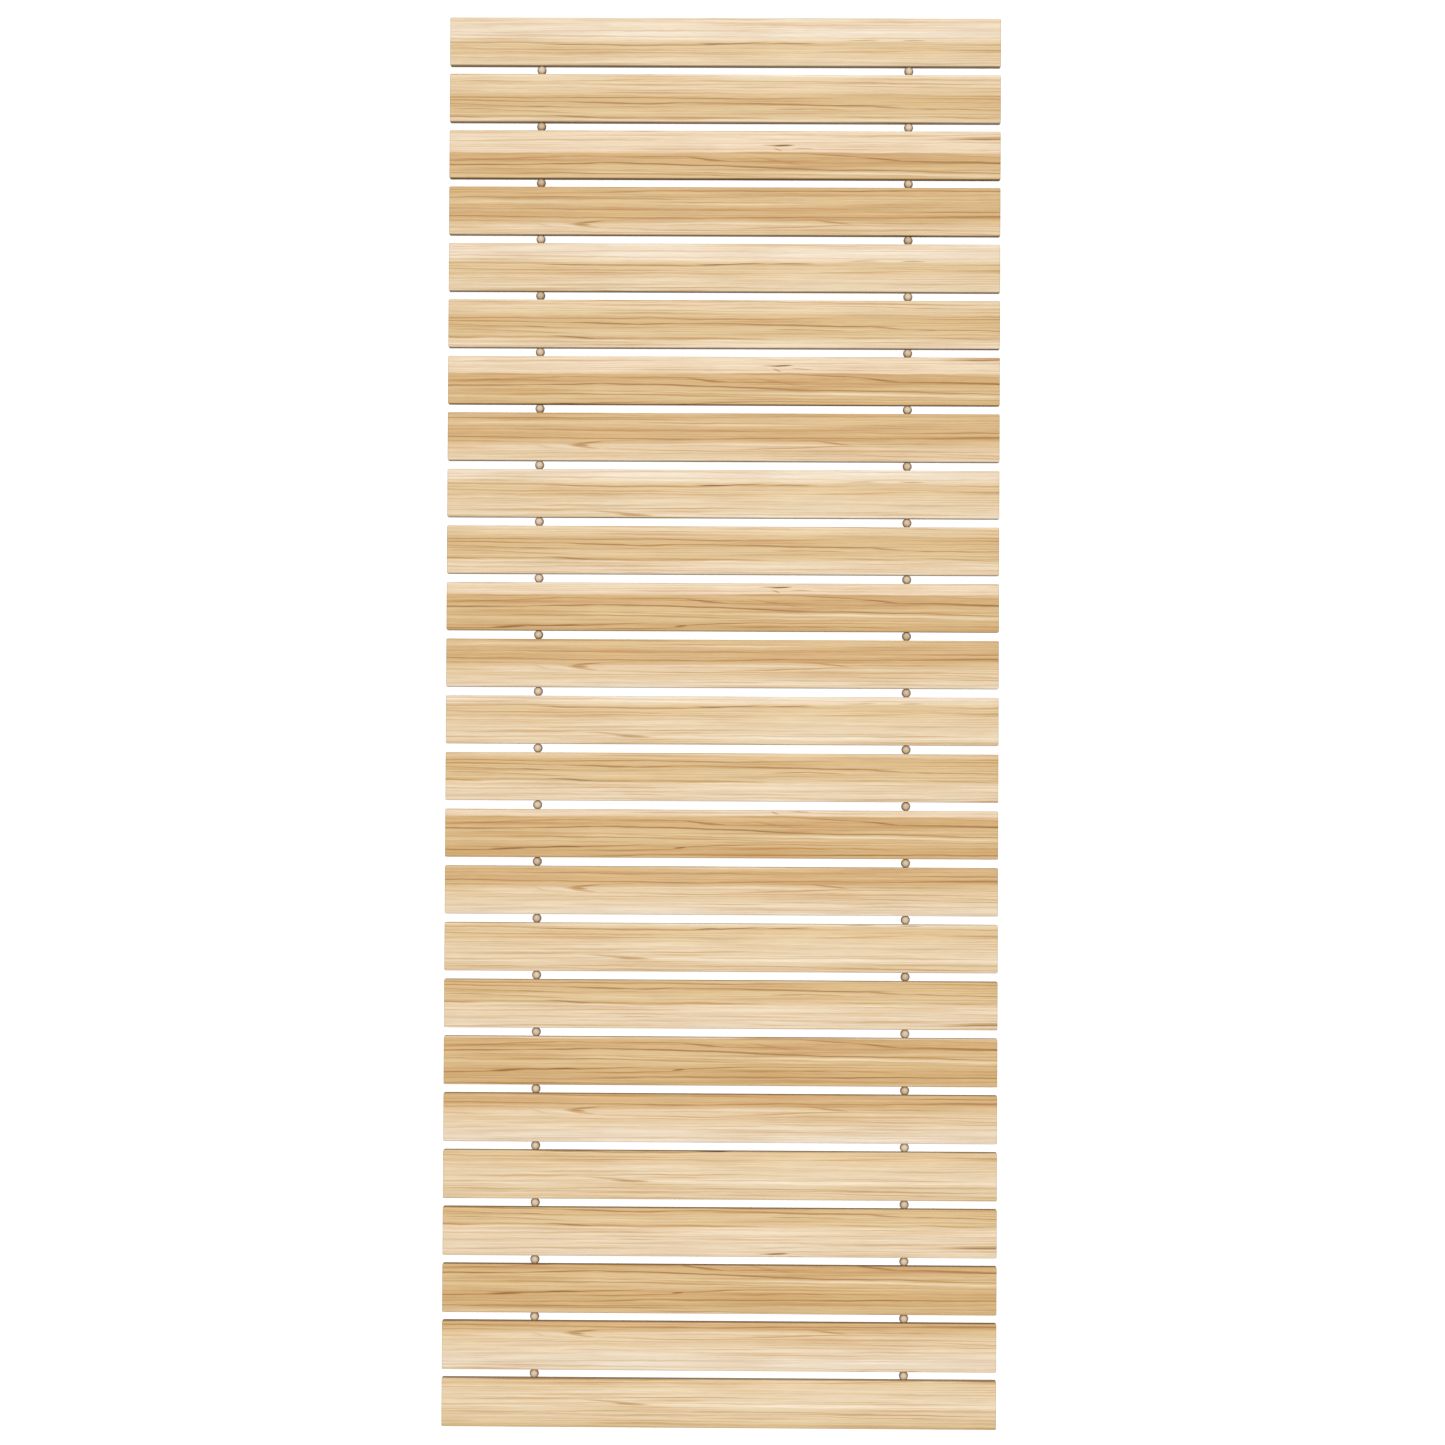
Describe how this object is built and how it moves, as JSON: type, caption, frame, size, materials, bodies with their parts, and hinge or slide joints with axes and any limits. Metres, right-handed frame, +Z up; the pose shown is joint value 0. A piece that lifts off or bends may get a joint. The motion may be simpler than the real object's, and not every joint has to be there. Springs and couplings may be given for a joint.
{
  "type": "wooden slat bath mat",
  "caption": "Roll-up bath mat of flat hardwood slats strung on two cords with round spacer beads, so that water drains through and it dries off the floor.",
  "frame": {"origin": "middle of the underside, on the floor", "axes": "+X along the slats, +Y along the mat to its rear end, +Z up"},
  "size_m": [0.45, 1.148, 0.01],
  "materials": {
    "slat_wood": "planed and sanded pale hardwood with eased edges and a satin oil finish",
    "bead_wood": "turned and drilled pale wooden bead, satin",
    "cord": "braided polyester cord, 2 mm, natural colour"
  },
  "bodies": {
    "slat_01": {"slat_01": "slat_wood", "beads_01": "bead_wood", "left_rear_knot": "cord", "right_rear_knot": "cord"},
    "slat_02": {"slat_02": "slat_wood", "beads_02": "bead_wood"},
    "slat_03": {"slat_03": "slat_wood", "beads_03": "bead_wood"},
    "slat_04": {"slat_04": "slat_wood", "beads_04": "bead_wood"},
    "slat_05": {"slat_05": "slat_wood", "beads_05": "bead_wood"},
    "slat_06": {"slat_06": "slat_wood", "beads_06": "bead_wood"},
    "slat_07": {"slat_07": "slat_wood", "beads_07": "bead_wood"},
    "slat_08": {"slat_08": "slat_wood", "beads_08": "bead_wood"},
    "slat_09": {"slat_09": "slat_wood", "beads_09": "bead_wood"},
    "slat_10": {"slat_10": "slat_wood", "beads_10": "bead_wood"},
    "slat_11": {"slat_11": "slat_wood", "beads_11": "bead_wood"},
    "slat_12": {"slat_12": "slat_wood", "beads_12": "bead_wood"},
    "slat_13": {"slat_13": "slat_wood", "beads_13": "bead_wood"},
    "slat_14": {"slat_14": "slat_wood", "beads_14": "bead_wood"},
    "slat_15": {"slat_15": "slat_wood", "beads_15": "bead_wood"},
    "slat_16": {"slat_16": "slat_wood", "beads_16": "bead_wood"},
    "slat_17": {"slat_17": "slat_wood", "beads_17": "bead_wood"},
    "slat_18": {"slat_18": "slat_wood", "beads_18": "bead_wood"},
    "slat_19": {"slat_19": "slat_wood", "beads_19": "bead_wood"},
    "slat_20": {"slat_20": "slat_wood", "beads_20": "bead_wood"},
    "slat_21": {"slat_21": "slat_wood", "beads_21": "bead_wood"},
    "slat_22": {"slat_22": "slat_wood", "beads_22": "bead_wood"},
    "slat_23": {"slat_23": "slat_wood", "beads_23": "bead_wood"},
    "slat_24": {"slat_24": "slat_wood", "beads_24": "bead_wood"},
    "slat_25": {"slat_25": "slat_wood", "left_cord": "cord", "right_cord": "cord", "left_front_knot": "cord", "right_front_knot": "cord"}
  },
  "joints": [
    {"name": "hinge_01", "type": "hinge", "parent": "slat_02", "child": "slat_01", "pos_m": [0, 0.5313, 0.005], "axis": [1, 0, 0], "range_deg": [-55, 55]},
    {"name": "hinge_02", "type": "hinge", "parent": "slat_03", "child": "slat_02", "pos_m": [0, 0.4851, 0.005], "axis": [1, 0, 0], "range_deg": [-52.5, 52.5]},
    {"name": "hinge_03", "type": "hinge", "parent": "slat_04", "child": "slat_03", "pos_m": [0, 0.4389, 0.005], "axis": [1, 0, 0], "range_deg": [-50.5, 50.5]},
    {"name": "hinge_04", "type": "hinge", "parent": "slat_05", "child": "slat_04", "pos_m": [0, 0.3927, 0.005], "axis": [1, 0, 0], "range_deg": [-49, 49]},
    {"name": "hinge_05", "type": "hinge", "parent": "slat_06", "child": "slat_05", "pos_m": [0, 0.3465, 0.005], "axis": [1, 0, 0], "range_deg": [-47, 47]},
    {"name": "hinge_06", "type": "hinge", "parent": "slat_07", "child": "slat_06", "pos_m": [0, 0.3003, 0.005], "axis": [1, 0, 0], "range_deg": [-46, 46]},
    {"name": "hinge_07", "type": "hinge", "parent": "slat_08", "child": "slat_07", "pos_m": [0, 0.2541, 0.005], "axis": [1, 0, 0], "range_deg": [-44.5, 44.5]},
    {"name": "hinge_08", "type": "hinge", "parent": "slat_09", "child": "slat_08", "pos_m": [0, 0.2079, 0.005], "axis": [1, 0, 0], "range_deg": [-43, 43]},
    {"name": "hinge_09", "type": "hinge", "parent": "slat_10", "child": "slat_09", "pos_m": [0, 0.1617, 0.005], "axis": [1, 0, 0], "range_deg": [-42, 42]},
    {"name": "hinge_10", "type": "hinge", "parent": "slat_11", "child": "slat_10", "pos_m": [0, 0.1155, 0.005], "axis": [1, 0, 0], "range_deg": [-41, 41]},
    {"name": "hinge_11", "type": "hinge", "parent": "slat_12", "child": "slat_11", "pos_m": [0, 0.0693, 0.005], "axis": [1, 0, 0], "range_deg": [-40, 40]},
    {"name": "hinge_12", "type": "hinge", "parent": "slat_13", "child": "slat_12", "pos_m": [0, 0.0231, 0.005], "axis": [1, 0, 0], "range_deg": [-39, 39]},
    {"name": "hinge_13", "type": "hinge", "parent": "slat_14", "child": "slat_13", "pos_m": [0, -0.0231, 0.005], "axis": [1, 0, 0], "range_deg": [-38.5, 38.5]},
    {"name": "hinge_14", "type": "hinge", "parent": "slat_15", "child": "slat_14", "pos_m": [0, -0.0693, 0.005], "axis": [1, 0, 0], "range_deg": [-37.5, 37.5]},
    {"name": "hinge_15", "type": "hinge", "parent": "slat_16", "child": "slat_15", "pos_m": [0, -0.1155, 0.005], "axis": [1, 0, 0], "range_deg": [-37, 37]},
    {"name": "hinge_16", "type": "hinge", "parent": "slat_17", "child": "slat_16", "pos_m": [0, -0.1617, 0.005], "axis": [1, 0, 0], "range_deg": [-36, 36]},
    {"name": "hinge_17", "type": "hinge", "parent": "slat_18", "child": "slat_17", "pos_m": [0, -0.2079, 0.005], "axis": [1, 0, 0], "range_deg": [-35.5, 35.5]},
    {"name": "hinge_18", "type": "hinge", "parent": "slat_19", "child": "slat_18", "pos_m": [0, -0.2541, 0.005], "axis": [1, 0, 0], "range_deg": [-35, 35]},
    {"name": "hinge_19", "type": "hinge", "parent": "slat_20", "child": "slat_19", "pos_m": [0, -0.3003, 0.005], "axis": [1, 0, 0], "range_deg": [-34, 34]},
    {"name": "hinge_20", "type": "hinge", "parent": "slat_21", "child": "slat_20", "pos_m": [0, -0.3465, 0.005], "axis": [1, 0, 0], "range_deg": [-33.5, 33.5]},
    {"name": "hinge_21", "type": "hinge", "parent": "slat_22", "child": "slat_21", "pos_m": [0, -0.3927, 0.005], "axis": [1, 0, 0], "range_deg": [-33, 33]},
    {"name": "hinge_22", "type": "hinge", "parent": "slat_23", "child": "slat_22", "pos_m": [0, -0.4389, 0.005], "axis": [1, 0, 0], "range_deg": [-32.5, 32.5]},
    {"name": "hinge_23", "type": "hinge", "parent": "slat_24", "child": "slat_23", "pos_m": [0, -0.4851, 0.005], "axis": [1, 0, 0], "range_deg": [-32, 32]},
    {"name": "hinge_24", "type": "hinge", "parent": "slat_25", "child": "slat_24", "pos_m": [0, -0.5313, 0.005], "axis": [1, 0, 0], "range_deg": [-31.5, 31.5], "deforming": ["left_cord", "right_cord"]}
  ]
}
